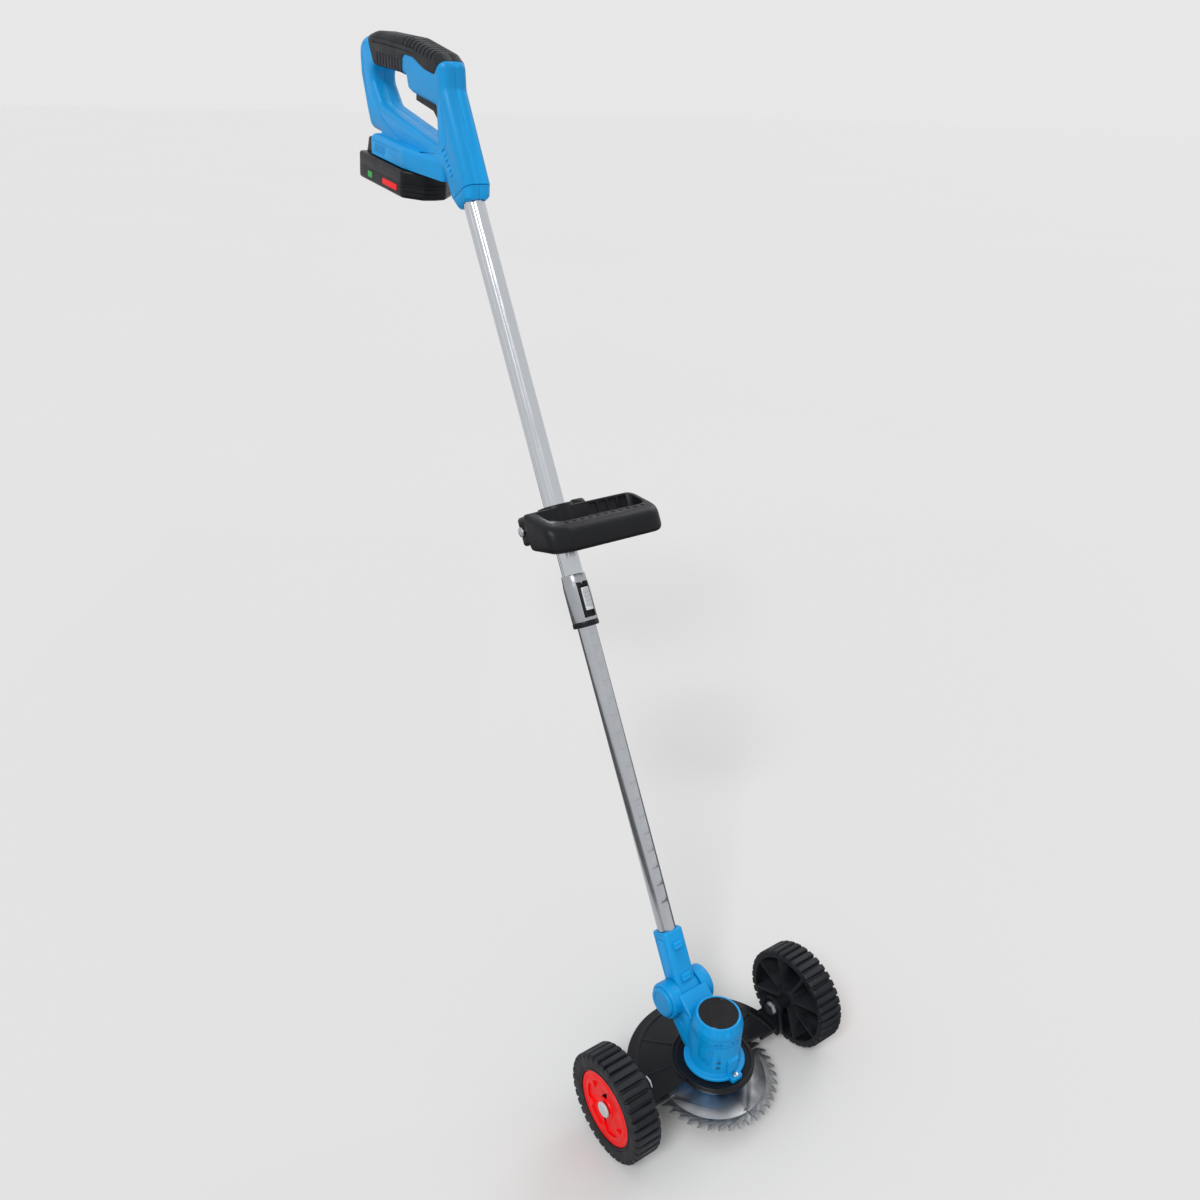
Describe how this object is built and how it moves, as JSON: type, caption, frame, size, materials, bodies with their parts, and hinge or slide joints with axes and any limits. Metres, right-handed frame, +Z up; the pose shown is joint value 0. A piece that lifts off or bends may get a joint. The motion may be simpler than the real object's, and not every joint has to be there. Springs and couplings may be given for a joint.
{
  "type": "string trimmer",
  "caption": "Cordless pole grass trimmer with a toothed disc under a half guard, two small wheels, a telescopic pole, a side loop handle and a closed rear grip with a slide-on battery.",
  "frame": {"origin": "on the ground, midway between the tool's left and right sides and between the front of the disc and the back of the battery", "axes": "+Z up, -Y towards the cutting disc's front, +Y towards the battery, +X towards the tool's right side as its user stands behind it"},
  "size_m": [0.3076, 0.844, 1.1044],
  "materials": {
    "blue_plastic": "satin bright blue moulded plastic",
    "black_plastic": "fine-textured black moulded plastic",
    "black_gloss": "glossy black disc insert",
    "grey_plastic": "mid-grey moulded plastic",
    "red_plastic": "satin red moulded plastic",
    "wheel_black": "hard black moulded wheel with tread blocks",
    "rubber": "soft black overmoulded grip",
    "tube_aluminium": "bright drawn tube",
    "silver": "bright silver lacquer",
    "steel": "bright zinc-plated steel",
    "steel_dark": "dark rolled steel",
    "disc_steel": "circularly ground steel with a darker toothed rim",
    "brass": "plain contact brass",
    "cell": "sleeved cell"
  },
  "bodies": {
    "handle": {"upper_tube": "tube_aluminium", "lock_collar": "black_plastic", "lock_sleeve": "silver", "lock_insert": "black_plastic", "handle_shell_left": "blue_plastic", "handle_shell_right": "blue_plastic", "grip_cover_left": "rubber", "grip_cover_right": "rubber", "shell_screw_1": "steel", "shell_screw_2": "steel", "shell_screw_3": "steel", "shell_screw_4": "steel", "trigger_switch": "black_plastic", "battery_terminal_block": "black_plastic", "terminal_contact_left": "brass", "terminal_contact_right": "brass"},
    "pole_lock_button": {"pole_lock_button": "grey_plastic"},
    "auxiliary_handle": {"auxiliary_handle": "black_plastic", "clamp_bolt": "steel"},
    "clamp_knob": {"clamp_knob": "black_plastic"},
    "trigger": {"trigger": "black_plastic"},
    "lock_off_button": {"lock_off_button": "black_plastic"},
    "battery": {"battery_lower_case": "black_plastic", "battery_upper_case": "black_plastic", "battery_cell_1": "cell", "battery_cell_2": "cell", "battery_cell_3": "cell", "battery_cell_4": "cell", "battery_cell_5": "cell"},
    "battery_release_button": {"battery_release_button": "grey_plastic"},
    "lower_pole": {"head_socket": "blue_plastic", "lower_tube": "tube_aluminium"},
    "head": {"guard": "black_plastic", "motor_housing": "blue_plastic", "motor_cap": "blue_plastic", "cap_badge": "black_gloss", "base_ring": "blue_plastic", "front_screw": "steel", "motor_can": "steel_dark", "lower_motor_bearing": "steel", "upper_motor_bearing": "steel", "pivot_pin": "steel", "left_axle_bolt": "steel", "left_axle_spacer": "black_plastic", "left_axle_cap": "grey_plastic", "right_axle_bolt": "steel", "right_axle_spacer": "black_plastic", "right_axle_cap": "grey_plastic"},
    "pivot_lock_button": {"pivot_lock_button": "blue_plastic"},
    "disc": {"cutting_disc": "disc_steel", "spindle": "steel", "upper_disc_flange": "steel", "lower_disc_flange": "steel", "disc_nut": "steel", "motor_rotor": "steel_dark"},
    "left_wheel": {"left_wheel": "wheel_black", "left_hub_cover": "red_plastic"},
    "right_wheel": {"right_wheel": "wheel_black", "right_hub_cover": "red_plastic"}
  },
  "joints": [
    {"name": "telescope", "type": "slide", "parent": "handle", "child": "lower_pole", "axis": [0, 0.4802, 0.8771], "range_m": [0, 0.328]},
    {"name": "pole_lock_press", "type": "slide", "parent": "handle", "child": "pole_lock_button", "axis": [0, -0.4802, -0.8771], "range_m": [0, 0.005], "stiffness_N_per_m": 400, "springref_m": -0.003},
    {"name": "auxiliary_handle_slide", "type": "slide", "parent": "handle", "child": "auxiliary_handle", "axis": [0, 0.4802, 0.8771], "range_m": [-0.015, 0.33]},
    {"name": "clamp_knob_turn", "type": "hinge", "parent": "auxiliary_handle", "child": "clamp_knob", "pos_m": [0.0368, 0.00089, 0.58601], "axis": [1, 0, 0], "continuous": true},
    {"name": "head_tilt", "type": "hinge", "parent": "lower_pole", "child": "head", "pos_m": [0, -0.2868, 0.09824], "axis": [1, 0, 0], "range_deg": [-25, 60]},
    {"name": "pivot_lock_press", "type": "slide", "parent": "head", "child": "pivot_lock_button", "axis": [1, 0, 0], "range_m": [0, 0.004], "stiffness_N_per_m": 500, "springref_m": -0.003},
    {"name": "disc_spin", "type": "hinge", "parent": "head", "child": "disc", "pos_m": [0, -0.347, 0.02], "axis": [0, 0, 1], "continuous": true},
    {"name": "left_wheel_spin", "type": "hinge", "parent": "head", "child": "left_wheel", "pos_m": [-0.1356, -0.3401, 0.0605], "axis": [1, 0, 0], "continuous": true},
    {"name": "right_wheel_spin", "type": "hinge", "parent": "head", "child": "right_wheel", "pos_m": [0.1356, -0.3401, 0.0605], "axis": [1, 0, 0], "continuous": true},
    {"name": "trigger_pull", "type": "slide", "parent": "handle", "child": "trigger", "axis": [0, -0.2756, 0.9613], "range_m": [0, 0.005], "stiffness_N_per_m": 600, "springref_m": -0.003},
    {"name": "lock_off_press", "type": "slide", "parent": "handle", "child": "lock_off_button", "axis": [-1, 0, 0], "range_m": [0, 0.003], "stiffness_N_per_m": 500, "springref_m": -0.002},
    {"name": "battery_slide", "type": "slide", "parent": "handle", "child": "battery", "axis": [0, 0.9903, 0.1392], "range_m": [0, 0.1]},
    {"name": "battery_release_press", "type": "slide", "parent": "battery", "child": "battery_release_button", "axis": [0, 0.1392, -0.9903], "range_m": [0, 0.0025], "stiffness_N_per_m": 500, "springref_m": -0.003}
  ]
}
